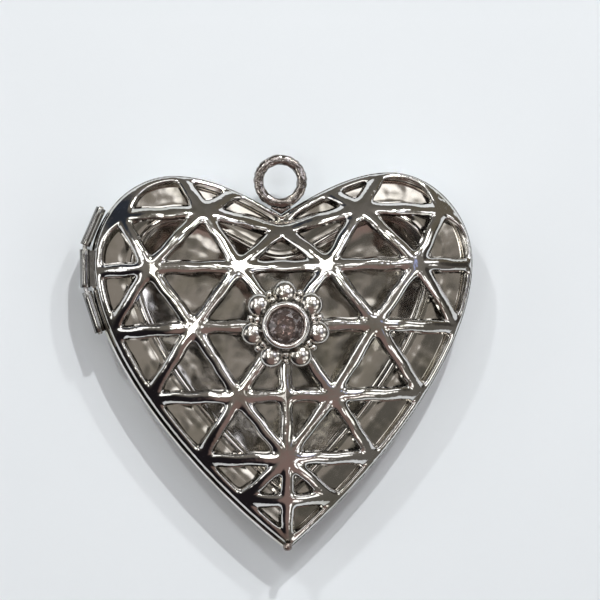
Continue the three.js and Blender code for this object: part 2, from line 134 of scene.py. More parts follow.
# ------------------------------ heart outline
def polar(length, degrees):
    """A vector of the plan from its length and direction."""
    angle = math.radians(degrees)
    return np.array([length * math.cos(angle), length * math.sin(angle)])


def bezier(corners, t):
    """Points of a cubic Bezier curve."""
    a, b, c, d = corners
    t = t[:, None]
    return (1 - t) ** 3 * a + 3 * (1 - t) ** 2 * t * b + 3 * (1 - t) * t * t * c + t**3 * d


def half_outline(samples=500):
    """Points of the right half of the outline and their inward normals, tip to cleft."""
    tip = np.array([0.0, TIP_Y])
    widest = np.array([HALF_WIDTH, WIDEST_Y])
    top = np.array([LOBE_TOP_X, LOBE_TOP_Y])
    cleft = np.array([0.0, CLEFT_Y])
    curves = [
        (tip, tip + polar(*TIP_HANDLE), widest + polar(*WIDEST_LOWER_HANDLE), widest),
        (widest, widest + polar(*WIDEST_UPPER_HANDLE), top + polar(*LOBE_OUTER_HANDLE), top),
        (top, top + polar(*LOBE_INNER_HANDLE), cleft + polar(*CLEFT_HANDLE), cleft),
    ]
    t = np.linspace(0, 1, samples)
    small = 1e-4
    points, normals = [], []
    for curve in curves:
        ahead = bezier(curve, np.minimum(t + small, 1)) - bezier(curve, np.maximum(t - small, 0))
        ahead /= np.linalg.norm(ahead, axis=1)[:, None]
        points.append(bezier(curve, t))
        normals.append(np.stack([-ahead[:, 1], ahead[:, 0]], 1))
    return np.concatenate(points), np.concatenate(normals)


OUTLINE, INWARD = half_outline()


def even_steps(points, steps):
    """The same line through points at even distances."""
    lengths = np.concatenate([[0], np.cumsum(np.linalg.norm(np.diff(points, axis=0), axis=1))])
    wanted = np.linspace(0, lengths[-1], steps + 1)
    return np.stack([np.interp(wanted, lengths, points[:, k]) for k in (0, 1)], 1)


def heart_loop(inset, steps=200, arc_steps=15):
    """Closed loop of points a given distance inside the outline, anticlockwise from the tip.

    An arc about the cleft's point carries the loop round it.
    """
    line = OUTLINE + INWARD * inset
    line = line[line[:, 0] > 1e-6]
    slope = (line[1, 1] - line[0, 1]) / (line[1, 0] - line[0, 0])
    foot = line[0, 1] - slope * line[0, 0]
    start = math.atan2(INWARD[-1, 1], INWARD[-1, 0])
    angles = np.linspace(start, -math.pi / 2, arc_steps + 1)[1:]
    arc = np.stack([inset * np.cos(angles), CLEFT_Y + inset * np.sin(angles)], 1)
    half = even_steps(np.concatenate([[[0.0, foot]], line, arc]), steps)
    half[0, 0] = half[-1, 0] = 0.0
    left = half[1:-1][::-1] * [-1, 1]
    return np.concatenate([half, left])


def outline_tree():
    """Search tree over the right half of the outline."""
    tree = KDTree(len(OUTLINE))
    for i, (px, py) in enumerate(OUTLINE):
        tree.insert((px, py, 0), i)
    tree.balance()
    return tree


OUTLINE_TREE = outline_tree()


def half_distance(x, y):
    """Distance of each point to the right half of the outline, positive on its inner side."""
    points = np.stack([x.ravel(), y.ravel()], 1)
    nearest = np.array([OUTLINE_TREE.find((px, py, 0))[1] for px, py in points])
    best = np.full(len(points), np.inf)
    side = np.zeros(len(points))
    for step in (-1, 1):
        other = np.clip(nearest + step, 0, len(OUTLINE) - 1)
        a = OUTLINE[nearest]
        edge = OUTLINE[other] - a
        length2 = np.maximum((edge**2).sum(1), 1e-12)
        t = np.clip(((points - a) * edge).sum(1) / length2, 0, 1)
        gap = points - a - t[:, None] * edge
        distance = np.hypot(gap[:, 0], gap[:, 1])
        closer = distance < best
        best[closer] = distance[closer]
        side[closer] = np.sign((gap * INWARD[nearest]).sum(1))[closer]
    return (best * side).reshape(x.shape)


def inside_distance(x, y):
    """Distance of each point to the whole outline, positive inside the heart."""
    return half_distance(np.abs(x), y)


def depth_from_halves(x, y):
    """Distances to the right and the left half of the outline, positive inside the heart."""
    inside = np.sign(inside_distance(x, y))
    return inside * np.abs(half_distance(x, y)), inside * np.abs(half_distance(-x, y))


# ------------------------------ meshes
def make_piece(name, vertices, faces, material, sharp_degrees=None):
    """A mesh object from points in millimetres."""
    mesh = bpy.data.meshes.new(name)
    mesh.from_pydata((np.asarray(vertices, float) * MM).tolist(), [], [tuple(f) for f in faces])
    mesh.polygons.foreach_set("use_smooth", [True] * len(mesh.polygons))
    if sharp_degrees is not None:
        mesh.set_sharp_from_angle(angle=math.radians(sharp_degrees))
    mesh.materials.append(material)
    obj = bpy.data.objects.new(name, mesh)
    bpy.context.scene.collection.objects.link(obj)
    return obj


def finish_piece(obj, body, node):
    """Attaches a piece to the empty of the body it rides on and hides the CAD node it stands for.
    """
    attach(obj, body)
    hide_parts(node)
    return obj


def band(lower, upper, count, closed=True):
    """Quads between two rows of points that start at those indices."""
    last = count if closed else count - 1
    return [
        (lower + i, lower + (i + 1) % count, upper + (i + 1) % count, upper + i)
        for i in range(last)
    ]


def rows_mesh(rows, cap_first=False, cap_last=False, wrap=False):
    """Vertices and faces of a skin through closed rows of points."""
    count = len(rows[0])
    vertices = np.concatenate(rows)
    faces = []
    for i in range(len(rows) - 1):
        faces += band(i * count, (i + 1) * count, count)
    if wrap:
        faces += band((len(rows) - 1) * count, 0, count)
    if cap_first:
        faces.append(tuple(range(count - 1, -1, -1)))
    if cap_last:
        faces.append(tuple((len(rows) - 1) * count + i for i in range(count)))
    return vertices, faces


def ring_row(radius, z, sides, turn=0.0):
    """Points round the Z axis at one height."""
    angles = np.linspace(0, 2 * math.pi, sides, endpoint=False) + turn
    return np.stack([radius * np.cos(angles), radius * np.sin(angles), np.full(sides, z)], 1)


def lathe_mesh(profile, sides, centre=(0, 0), wrap=False):
    """A turned skin from (radius, z) points; a radius of zero at an end closes it."""
    rows = [ring_row(radius, z, sides) + (*centre, 0) for radius, z in profile]
    return rows_mesh(rows, cap_first=not wrap, cap_last=not wrap, wrap=wrap)


def arc_points(centre, radius, start, end, steps):
    """Points (u, v) on an arc of a section, angles in degrees."""
    angles = np.radians(np.linspace(start, end, steps + 1))
    return [(centre[0] + radius * math.cos(a), centre[1] + radius * math.sin(a)) for a in angles]


def joined(parts):
    """Several (vertices, faces) as one."""
    vertices, faces, base = [], [], 0
    for v, f in parts:
        vertices.append(np.asarray(v))
        faces += [tuple(i + base for i in face) for face in f]
        base += len(v)
    return np.concatenate(vertices), faces


# ------------------------------ materials
# Plating texture: noise cells per metre, bump depths in metres, the ripples' as a share of a cell.
GRAIN_CELLS = 9000
GRAIN_DEPTH = 0.00002
STAIN_CELLS = 420
STAIN_RANGE = (0.45, 0.75)
RIPPLE_DEPTH = 0.11
ROUGHNESS_SPREAD = np.array([0.6, 1.6])
# How much more the blue fades than red and green where the plating is tarnished.
TARNISH_OF_BLUE = 1.25
# Painted shade: the colour darkens as the normal's Z falls from the first to the second value.
# Underneath, this share of Z counts instead, turned positive.
UNSHADED_Z, FULL_SHADE_Z = 0.6, 0.18
UNDERSIDE_SHADE_SHARE = 0.32


def new_material(name):
    """A material with its nodes, links and shader."""
    material = bpy.data.materials.new(name)
    material.use_nodes = True
    nodes = material.node_tree.nodes
    shader = nodes["Principled BSDF"]
    return material, nodes, material.node_tree.links, shader


def noise_of(nodes, links, place, cells, detail):
    """Noise over the piece, with so many cells per metre."""
    texture = nodes.new("ShaderNodeTexNoise")
    texture.inputs["Scale"].default_value = cells
    texture.inputs["Detail"].default_value = detail
    links.new(place, texture.inputs["Vector"])
    return texture.outputs["Fac"]


def mapped(nodes, links, value, source, target=(0, 1), interpolation="LINEAR"):
    """A value mapped from one range to another, and held inside it."""
    node = nodes.new("ShaderNodeMapRange")
    node.interpolation_type = interpolation
    for socket, limit in zip(("From Min", "From Max", "To Min", "To Max"), (*source, *target)):
        node.inputs[socket].default_value = limit
    links.new(value, node.inputs["Value"])
    return node.outputs["Result"]


def mixed(nodes, links, share, first, second):
    """A mix of two fixed colours by a share."""
    node = nodes.new("ShaderNodeMixRGB")
    node.inputs["Color1"].default_value = (*first, 1)
    node.inputs["Color2"].default_value = (*second, 1)
    links.new(share, node.inputs["Fac"])
    return node.outputs["Color"]


def math_of(nodes, links, operation, first):
    """A maths node with its first input linked."""
    node = nodes.new("ShaderNodeMath")
    node.operation = operation
    links.new(first, node.inputs[0])
    return node


def bumped(nodes, links, height, strength, depth):
    """A bump node over a height."""
    node = nodes.new("ShaderNodeBump")
    node.inputs["Strength"].default_value = strength
    node.inputs["Distance"].default_value = depth
    links.new(height, node.inputs["Height"])
    return node


def painted_tilt_shade(nodes, links, normal, sides):
    """Painted shade: 1 where the piece faces +Z, sides on upright walls, in between underneath."""
    split = nodes.new("ShaderNodeSeparateXYZ")
    links.new(normal, split.inputs["Vector"])
    under = math_of(nodes, links, "MULTIPLY", split.outputs["Z"])
    under.inputs[1].default_value = -UNDERSIDE_SHADE_SHARE
    either = math_of(nodes, links, "MAXIMUM", split.outputs["Z"])
    links.new(under.outputs["Value"], either.inputs[1])
    return mapped(nodes, links, either.outputs["Value"], (FULL_SHADE_Z, UNSHADED_Z), (sides, 1))


def plating(name, colour, roughness, ripple=0.25, grain=0.06, tarnish=0.25, wave=900, sides=0.35):
    """Polished plating: ripples, fine grain and faint tarnish, with painted shade on its sides and
    underside.

    ripple and grain are bump strengths, wave is ripples per metre, sides how bright the painted
    shade leaves the walls.
    """
    material, nodes, links, shader = new_material(name)
    place = nodes.new("ShaderNodeTexCoord")
    slow = noise_of(nodes, links, place.outputs["Object"], wave, 2)
    fine = noise_of(nodes, links, place.outputs["Object"], GRAIN_CELLS, 3)
    stain = noise_of(nodes, links, place.outputs["Object"], STAIN_CELLS, 5)
    red, green, blue = colour
    clean = 1 - tarnish
    tarnished = (red * clean, green * clean, blue * (1 - TARNISH_OF_BLUE * tarnish))
    tint = mixed(nodes, links, mapped(nodes, links, stain, STAIN_RANGE), colour, tarnished)
    shade = nodes.new("ShaderNodeVectorMath")
    shade.operation = "SCALE"
    links.new(tint, shade.inputs["Vector"])
    # Painted shade: the colour is scaled down where the normal tilts away from +Z.
    painted_wall_shade = painted_tilt_shade(nodes, links, place.outputs["Normal"], sides)
    links.new(painted_wall_shade, shade.inputs["Scale"])
    rough = mapped(nodes, links, fine, (0, 1), roughness * ROUGHNESS_SPREAD)
    rippled = bumped(nodes, links, slow, ripple, RIPPLE_DEPTH / wave)
    grained = bumped(nodes, links, fine, grain, GRAIN_DEPTH)
    links.new(rippled.outputs["Normal"], grained.inputs["Normal"])
    shader.inputs["Metallic"].default_value = 1.0
    links.new(shade.outputs["Vector"], shader.inputs["Base Color"])
    links.new(rough, shader.inputs["Roughness"])
    links.new(grained.outputs["Normal"], shader.inputs["Normal"])
    return material


# Each plating's sides value sets how dark its painted shade makes the walls.
COVER_METAL = plating("cover_plating", (0.82, 0.805, 0.785), 0.06, ripple=0.4, grain=0.12)
SHELL_METAL = plating(
    "back_plating", (0.90, 0.87, 0.83), 0.09, ripple=0.42, grain=0.02, wave=300, sides=0.9)
FRAME_METAL = plating(
    "frame_plating", (0.90, 0.87, 0.83), 0.07, ripple=0.3, grain=0.02, wave=360)
# A darker copy of the cover's plating: painted shade on the tip nib.
NIB_METAL = plating(
    "cover_plating_painted_dark", (0.40, 0.34, 0.32), 0.12, ripple=0.5, grain=0.3, sides=0.1)
# A dark copy of the plating: painted shade on the hinge tubes.
HINGE_METAL = plating("hinge_plating", (0.34, 0.335, 0.33), 0.16, ripple=0.3, sides=0.1)
WIRE_METAL = plating("pin_wire", (0.6, 0.59, 0.58), 0.25, ripple=0.1)
RING_METAL = plating(
    "ring_plating", (0.38, 0.345, 0.33), 0.08, ripple=0.35, grain=0.5, sides=0.1)
ROSE_METAL = plating("rosette_plating", (0.78, 0.75, 0.72), 0.16, ripple=0.6, wave=1500)
CUP_METAL = plating("cup_plating", (0.92, 0.90, 0.88), 0.13, ripple=0.4, wave=1500)
RIVET_METAL = plating("rivet_metal", (0.66, 0.65, 0.64), 0.2, ripple=0.1)

SMOKE, PALE_SMOKE = (0.47, 0.40, 0.38), (0.60, 0.50, 0.48)
SMOKE_CELLS = 700


def crystal_material():
    """Smoky glass whose brown is a little uneven."""
    material, nodes, links, shader = new_material("smoky_crystal")
    place = nodes.new("ShaderNodeTexCoord")
    cloud = noise_of(nodes, links, place.outputs["Object"], SMOKE_CELLS, 2)
    links.new(mixed(nodes, links, cloud, SMOKE, PALE_SMOKE), shader.inputs["Base Color"])
    shader.inputs["Roughness"].default_value = 0.01
    shader.inputs["IOR"].default_value = 1.6
    shader.inputs["Transmission Weight"].default_value = 0.94
    return material


STONE_GLASS = crystal_material()


# ------------------------------ back shell
def dish_profile(thickness, steps=26):
    """Inset and height along the dish's round wall, from its flat bottom up."""
    u = np.linspace(0, math.pi / 2, steps + 1)
    inset = SHELL_ROUND - (SHELL_ROUND - thickness) * np.sin(u)
    z = SHELL_ROUND_TOP - (SHELL_ROUND_TOP - thickness) * np.cos(u)
    return list(zip(inset, z))


def heart_row(inset, z, steps=180):
    """A heart loop at one height."""
    loop = heart_loop(inset, steps)
    return np.column_stack([loop, np.full(len(loop), z)])


def middle_notch(points):
    """1 where the cover's hinge tab crosses the lip, 0 elsewhere."""
    low, high = box_mm("middle_knuckle")
    along = points[:, 1]
    near = (points[:, 0] < 0) & (along > low[1] - NOTCH_GAP) & (along < high[1] + NOTCH_GAP)
    return near.astype(float)


def shell_section():
    """Inset and height along the sheet: outside, chamfered and beaded lip, ledge, inside."""
    bead, soft = LIP_BEAD, 0.05
    lip = [(0.0, LIP_Z - LIP_CHAMFER), (0.02, LIP_Z - LIP_CHAMFER + soft)]
    lip += [(LIP_WALL - 1.6 * bead, LIP_Z - 0.01), (LIP_WALL - bead, LIP_Z)]
    lip += [(LIP_WALL - 0.3 * bead, LIP_Z - 0.3 * bead), (LIP_WALL, LIP_Z - bead)]
    ledge = [(LIP_WALL, LEDGE_Z), (SHEET - soft, LEDGE_Z), (SHEET, LEDGE_Z - soft)]
    return dish_profile(0.0) + lip + ledge + dish_profile(SHEET)[::-1][1:]


def build_back_shell():
    """The polished dish, its lip cut away where the cover's hinge tab crosses it."""
    rows = []
    for inset, z in shell_section():
        row = heart_row(inset, z)
        if z > LEDGE_Z:
            row[:, 2] -= middle_notch(row) * (z - LEDGE_Z)
        rows.append(row)
    vertices, faces = rows_mesh(rows, cap_first=True, cap_last=True)
    obj = make_piece("polished_back_shell", vertices, faces, SHELL_METAL, 40)
    return finish_piece(obj, "back", "back_shell")


# ------------------------------ photo frame
# The flange's height over the skirt's foot and its thickness, and the bead round the window.
FLANGE_SEAT = 1.18
FLANGE_THICKNESS = 0.36
BEAD_INSET = 3.2
BEAD_RADIUS = 0.27
BEAD_LIFT = 0.17


def frame_section():
    """Inset and height along the section: edge at the shell's wall, low crown, bead, skirt."""
    seat = FRAME_FOOT + FLANGE_SEAT
    top = seat + FLANGE_THICKNESS
    section = [(1.02, seat), (0.79, top - 0.08), (0.745, top), (0.77, top + 0.04)]
    section += [(0.84, top + 0.05), (1.5, top + 0.02), (1.85, top + 0.045), (2.2, top + 0.045)]
    section += [(2.55, top + 0.02), (2.75, top), (2.9, top + 0.02)]
    section += arc_points((BEAD_INSET, top + BEAD_LIFT), BEAD_RADIUS, 215, -35, 16)
    section += [(3.50, top - 0.1), (3.53, top - 0.5), (3.55, FRAME_FOOT + 0.3)]
    section += [(3.6, FRAME_FOOT), (3.3, FRAME_FOOT), (3.2, seat)]
    return section


def build_photo_frame():
    """A hoop with a beaded window and a skirt down towards the floor."""
    rows = [heart_row(inset, z) for inset, z in frame_section()]
    vertices, faces = rows_mesh(rows, wrap=True)
    obj = make_piece("beaded_photo_frame", vertices, faces, FRAME_METAL, 50)
    return finish_piece(obj, "back", "back_photo_frame")


# ------------------------------ cover lattice
# Where the struts of the right half meet in plan; the left half mirrors them.
JOINTS = {
    "cleft": (0, 7.25), "lobe": (5.85, 8.65), "lobe_outer_rim": (7.35, 11.2),
    "lobe_inner_rim": (3.45, 10.0), "shoulder": (12.0, 8.45), "upper_inner": (3.28, 4.45),
    "upper_outer": (9.95, 4.45), "upper_rim": (14.1, 4.3), "centre": (0, 0),
    "middle": (6.72, 0), "middle_rim": (13.1, -0.35), "bar_upper": (0, -5.17),
    "lower": (3.52, -5.17), "lower_rim": (10.2, -5.2), "bar_lower": (0, -9.8),
    "foot_rim": (6.5, -9.9), "bar_foot": (0, -12.95), "toe_rim": (3.4, -12.9), "tip": (0, -16.0),
}
STRUTS = [
    ("cleft", "lobe"), ("lobe", "shoulder"), ("lobe", "lobe_outer_rim"),
    ("lobe", "lobe_inner_rim"), ("cleft", "upper_inner"), ("lobe", "upper_inner"),
    ("lobe", "upper_outer"), ("shoulder", "upper_outer"), ("upper_inner", "upper_outer"),
    ("upper_outer", "upper_rim"), ("upper_outer", "middle_rim"), ("upper_outer", "middle"),
    ("upper_inner", "middle"), ("upper_inner", "centre"), ("centre", "middle"),
    ("middle", "middle_rim"), ("middle", "lower_rim"), ("middle", "lower"), ("centre", "lower"),
    ("bar_upper", "lower"), ("lower", "lower_rim"), ("lower", "foot_rim"),
    ("lower", "bar_lower"), ("bar_lower", "foot_rim"), ("bar_lower", "toe_rim"),
    ("bar_foot", "toe_rim"), ("centre", "bar_upper"), ("bar_upper", "bar_lower"),
    ("bar_lower", "tip"),
]
# A strut's half width, and the height and power of the curve that rounds its top.
STRUT_HALF = 0.46
STRUT_CROWN = 0.33
CROWN_POWER = 2.1
# Fillets between struts, the slant of the windows' walls, and the round pad above the tip.
FILLET = 0.15
DRAFT = 0.09
TIP_PAD = 0.8
# The solid rim, wider at the shoulders, and how steeply its outer edge rounds off.
RIM_BAND = 0.64
SHOULDER_PATCH = {"at": (12.3, 8.9), "depth": 1.0, "spread": 1.5}
EDGE_SHARPNESS = 2.5
# How far the casting wanders from its plan, and the waves of that: radians per millimetre, how far
# the wave bends, and the bend's own radians per millimetre.
WOBBLE = 0.035
WAVE_IN_X = (2.9, 1.3, 1.7)
WAVE_IN_Y = (2.6, 1.5, 2.1)
# Cell of the plan's grid, and how near the edge, in cells, a grid point is moved onto it.
GRID = 0.075
SNAP = 0.4
# Limits that keep the sums and slopes within reach.
LEAST_SLOPE = 0.2
LARGEST_POWER = 30
STEEPEST = 3


def capsule_gap(x, y, start, end):
    """Distance from the line between two joints, less half a strut's width."""
    a = np.array(start, float)
    edge = np.array(end, float) - a
    t = np.clip(((x - a[0]) * edge[0] + (y - a[1]) * edge[1]) / (edge @ edge), 0, 1)
    return np.hypot(x - a[0] - t * edge[0], y - a[1] - t * edge[1]) - STRUT_HALF


def wobble(along, across, wave):
    """A slow wander of the casting."""
    turn, bend, bend_turn = wave
    return WOBBLE * np.sin(turn * along + bend * np.sin(bend_turn * across))


def lattice_field(x, y):
    """Smooth signed distance to the cover's metal in plan, negative in it, steep at its rim."""
    cast_x = x + wobble(y, x, WAVE_IN_X)
    cast_y = y + wobble(x, y, WAVE_IN_Y)
    side = np.abs(cast_x)
    inner_x, inner_y = JOINTS["upper_inner"]
    total = np.exp(-capsule_gap(side, cast_y, (0, inner_y), (inner_x, inner_y)) / FILLET)
    for start, end in STRUTS:
        total += np.exp(-capsule_gap(side, cast_y, JOINTS[start], JOINTS[end]) / FILLET)
    pad_x, pad_y = JOINTS["bar_lower"]
    total += np.exp(-(np.hypot(side - pad_x, cast_y - pad_y) - TIP_PAD) / FILLET)
    patch_x, patch_y = SHOULDER_PATCH["at"]
    away = ((side - patch_x) ** 2 + (cast_y - patch_y) ** 2) / SHOULDER_PATCH["spread"] ** 2
    own_depth = inside_distance(x - COVER_SHIFT[0], y - COVER_SHIFT[1])
    rim = own_depth - RIM_BAND - SHOULDER_PATCH["depth"] * np.exp(-away)
    total += np.exp(-np.clip(rim / FILLET, -LARGEST_POWER, LARGEST_POWER))
    edge = np.minimum(own_depth, inside_distance(x, y) - DOME_EDGE)
    return np.maximum(-FILLET * np.log(total), -EDGE_SHARPNESS * edge)


def cap_edge():
    """The angle and radius of the dome cap's edge about its centre."""
    loop = heart_loop(CAP_INSET, 360) - CAP_CENTRE
    angle = np.arctan2(loop[:, 1], loop[:, 0])
    order = np.argsort(angle)
    return angle[order], np.hypot(loop[:, 0], loop[:, 1])[order]


CAP_ANGLE, CAP_RADIUS = cap_edge()


def dome_height(x, y):
    """Height of the dome's outer skin: a flattening shoulder that runs smoothly into a cap."""
    right, left = depth_from_halves(x, y)
    soft = CLEFT_SOFTNESS
    depth = -soft * np.log(np.exp(-right / soft) + np.exp(-left / soft))
    depth = np.where(depth > DOME_EDGE, depth, DOME_EDGE)
    share = np.clip((depth - DOME_EDGE) / DOME_REACH, 0, 1)
    shoulder = DOME_SPRING + DOME_RISE * (1 - (1 - share) ** 2)
    dx, dy = x - CAP_CENTRE[0], y - CAP_CENTRE[1]
    radius = np.interp(np.arctan2(dy, dx), CAP_ANGLE, CAP_RADIUS, period=2 * math.pi)
    start = (CAP_INSET - DOME_EDGE) / DOME_REACH
    edge = DOME_SPRING + DOME_RISE * (1 - (1 - start) ** 2)
    cap = edge + CAP_RISE * (1 - (np.hypot(dx, dy) / radius) ** 2)
    blend = np.clip((depth - CAP_INSET + CAP_BLEND_LEAD) / CAP_BLEND_LENGTH, 0, 1)
    blend = blend * blend * (3 - 2 * blend)
    return shoulder * (1 - blend) + cap * blend


def crown(field):
    """How far into its rounded edge a point of a strut is, 0 to 1, and its share of the height."""
    t = np.clip(-field / STRUT_HALF, 0, 1)
    return t, np.maximum(1 - (1 - t) ** CROWN_POWER, 0) ** (1 / CROWN_POWER)


def slope(function, x, y, small=0.012):
    """Gradient of a function of the plan, by central differences."""
    across = (function(x + small, y) - function(x - small, y)) / (2 * small)
    along = (function(x, y + small) - function(x, y - small)) / (2 * small)
    return across, along


def onto_edge(x, y, passes):
    """Moves points near the metal's edge onto it."""
    for _ in range(passes):
        value = lattice_field(x, y)
        gx, gy = slope(lattice_field, x, y)
        size = np.maximum(gx**2 + gy**2, LEAST_SLOPE)
        x = x - value * gx / size
        y = y - value * gy / size
    return x, y


def plan_grid():
    """A grid over the heart and its field; points close to the metal's edge are moved onto it."""
    across = int(HALF_WIDTH / GRID) + 2
    xs = np.arange(-across, across + 1) * GRID
    ys = np.arange(TIP_Y - GRID, LOBE_TOP_Y + 2 * GRID, GRID)
    x, y = np.meshgrid(xs, ys, indexing="ij")
    value = lattice_field(x, y)
    near = np.abs(value) < SNAP * GRID
    x[near], y[near] = onto_edge(x[near], y[near], 2)
    value[near] = 0.0
    return x, y, value


def cell_triangles(x):
    """Two triangles for each cell of the grid, their diagonals mirrored on the left half."""
    ids = np.arange(x.size).reshape(x.shape)
    a, b, c, d = ids[:-1, :-1], ids[1:, :-1], ids[1:, 1:], ids[:-1, 1:]
    right = (x[:-1, :-1] >= -0.5 * GRID)[..., None]
    first = np.where(right, np.stack([a, b, c], 2), np.stack([a, b, d], 2))
    second = np.where(right, np.stack([a, c, d], 2), np.stack([b, c, d], 2))
    return np.concatenate([first.reshape(-1, 3), second.reshape(-1, 3)])


def plan_faces():
    """Points and faces of the cover's metal in plan, cut cleanly along its edge."""
    x, y, value = plan_grid()
    triangles = cell_triangles(x)
    points = np.stack([x.ravel(), y.ravel()], 1)
    value = value.ravel()
    some_in = (value[triangles] < 0).any(1)
    some_out = (value[triangles] > 0).any(1)
    faces = [tuple(f) for f in triangles[some_in & ~some_out]]
    cuts, cut_points = {}, []

    def cut(i, j):
        key = (min(i, j), max(i, j))
        if key not in cuts:
            share = value[key[0]] / (value[key[0]] - value[key[1]])
            cuts[key] = len(points) + len(cut_points)
            cut_points.append(points[key[0]] * (1 - share) + points[key[1]] * share)
        return cuts[key]

    for triangle in triangles[some_in & some_out]:
        corners = []
        for i, j in zip(triangle, np.roll(triangle, -1)):
            if value[i] <= 0:
                corners.append(i)
            if value[i] * value[j] < 0:
                corners.append(cut(i, j))
        faces.append(tuple(corners))
    cut_points = np.array(cut_points)
    cut_points = np.stack(onto_edge(cut_points[:, 0], cut_points[:, 1], 1), 1)
    points = np.concatenate([points, cut_points])
    used = np.unique(np.concatenate([np.array(f) for f in faces]))
    renumber = np.zeros(len(points), int)
    renumber[used] = np.arange(len(used))
    return points[used], [tuple(renumber[list(f)]) for f in faces]


def open_edges(faces):
    """Directed edges that only one face has."""
    edges = set()
    for face in faces:
        for k, i in enumerate(face):
            j = face[(k + 1) % len(face)]
            if (j, i) in edges:
                edges.remove((j, i))
            else:
                edges.add((i, j))
    return sorted(edges)


def cover_underside(depth, dome):
    """Height under the edge, then of the skirt's foot, then of the inner skin."""
    outer = np.clip((depth - SKIRT_INSET + 0.05) / 0.06, 0, 1)
    inner = np.clip((depth - SKIRT_INSET - SKIRT_WALL) / 0.08, 0, 1)
    ledge = LIP_Z + EDGE_GAP
    skin = dome - COVER_THICKNESS
    return ledge + outer * (DOME_FOOT - ledge) + inner * (skin - DOME_FOOT)


def unit(vectors):
    """Vectors at length 1."""
    return vectors / np.maximum(np.linalg.norm(vectors, axis=1), 1e-9)[:, None]


def build_cover():
    """The lattice: a rounded top on the dome, slanted window walls and an underside.

    Its normals come from the dome and the crown, so the metal mirrors without facets.
    """
    points, faces = plan_faces()
    x, y = points[:, 0], points[:, 1]
    t, share = crown(lattice_field(x, y))
    dome = dome_height(x, y)
    depth = inside_distance(x, y)
    bottom = cover_underside(depth, dome)
    top = np.maximum(dome - STRUT_CROWN * (1 - share), bottom + LEAST_THICKNESS)
    outward = np.stack(slope(lattice_field, x, y), 1)
    dome_slope = np.clip(np.stack(slope(dome_height, x, y), 1), -STEEPEST, STEEPEST)
    rounding = ((1 - t) ** (CROWN_POWER - 1)) * (t < 1)
    round_slope = STRUT_CROWN / STRUT_HALF * rounding[:, None] * outward
    top_normal = unit(np.column_stack([round_slope - share[:, None] * dome_slope, share]))
    side_normal = unit(np.column_stack([outward, np.full(len(x), DRAFT)]))
    under_normal = unit(np.column_stack([dome_slope, np.full(len(x), -1.0)]))

    count = len(points)
    edges = open_edges(faces)
    flare = np.zeros(count)
    flare[np.unique(edges)] = DRAFT
    flare[depth < RIM_BAND / 2] = 0
    foot = points + flare[:, None] * unit(outward)
    vertices = np.concatenate([np.column_stack([points, top]), np.column_stack([foot, bottom])])
    walls = [(j, i, i + count, j + count) for i, j in edges]
    unders = [tuple(i + count for i in reversed(face)) for face in faces]
    normals = [top_normal[list(face)] for face in faces]
    normals += [side_normal[[j, i, i, j]] for j, i, _, _ in walls]
    normals += [under_normal[[i - count for i in face]] for face in unders]
    obj = make_piece("openwork_cover", vertices, faces + walls + unders, COVER_METAL)
    obj.data.normals_split_custom_set(np.concatenate(normals).tolist())
    return finish_piece(obj, "cover", "front_cover")


# ------------------------------ hinge
KNUCKLE_OUTER = 0.38
KNUCKLE_BORE = 0.2
KNUCKLE_SOFT = 0.05
UPPER_LINE = ((-14.68, 6.3), (-13.42, 9.06))
MIDDLE_LINE = ((HINGE_X, 3.14), (HINGE_X, 6.02))
LOWER_LINE = ((-14.6, 2.84), (-13.68, -0.2))
TAB_HALF = 0.15
TAB_MARGIN = 0.1
PIN_RADIUS = 0.175
PIN_BEYOND = 0.04
BEND_GAP = 0.1


def tube_mesh(start, end, outer, bore, sides=40):
    """A tube between two points, with rounded ends."""
    start, end = np.array(start, float), np.array(end, float)
    length = np.linalg.norm(end - start)
    soft = KNUCKLE_SOFT
    profile = [(bore, 0), (outer - soft, 0), (outer - 0.3 * soft, 0.3 * soft), (outer, soft)]
    profile += [(outer, length * k / 6) for k in range(1, 6)]
    profile += [(outer, length - soft), (outer - 0.3 * soft, length - 0.3 * soft)]
    profile += [(outer - soft, length), (bore, length)]
    vertices, faces = lathe_mesh(profile, sides, wrap=True)
    return along_line(vertices, start, end), faces


def along_line(vertices, start, end):
    """Points built along +Z from the origin, turned to lie from start towards end."""
    direction = (end - start) / np.linalg.norm(end - start)
    turn = Vector((0, 0, 1)).rotation_difference(Vector(direction)).to_matrix()
    return vertices @ np.array(turn).T + start


def hinge_tab(low, high):
    """The plate that joins the cover's skirt to its knuckle."""
    left, right = HINGE_X + KNUCKLE_OUTER * 0.7, COVER_LOW[0] + 0.5
    return box_mesh((left, low + TAB_MARGIN, HINGE_Z - TAB_HALF),
                    (right, high - TAB_MARGIN, HINGE_Z + TAB_HALF))


def box_mesh(low, high):
    """A closed box with no rounding, for plates whose edges are hidden."""
    (x0, y0, z0), (x1, y1, z1) = low, high
    vertices = [(x, y, z) for z in (z0, z1) for x, y in ((x0, y0), (x1, y0), (x1, y1), (x0, y1))]
    faces = [(3, 2, 1, 0), (4, 5, 6, 7)] + band(0, 4, 4)
    return vertices, faces


def build_knuckle(name, node, body, line):
    """A hinge tube along a line of the plan; the cover's has a tab to the skirt."""
    start, end = [(px, py, HINGE_Z) for px, py in line]
    parts = [tube_mesh(start, end, KNUCKLE_OUTER, KNUCKLE_BORE)]
    if body == "cover":
        parts.append(hinge_tab(line[0][1], line[1][1]))
    obj = make_piece(name, *joined(parts), HINGE_METAL, 35)
    return finish_piece(obj, body, node)


def sweep_mesh(path, radius, sides=24):
    """A round wire through points of the plan at the hinge's height."""
    rows = []
    for i, point in enumerate(path):
        along = unit((path[min(i + 1, len(path) - 1)] - path[max(i - 1, 0)])[None])[0]
        angles = np.linspace(0, 2 * math.pi, sides, endpoint=False)
        side = radius * np.cos(angles)
        rows.append(np.stack([point[0] - along[1] * side, point[1] + along[0] * side,
                              HINGE_Z + radius * np.sin(angles)], 1))
    return rows_mesh(rows[::-1], cap_first=True, cap_last=True)


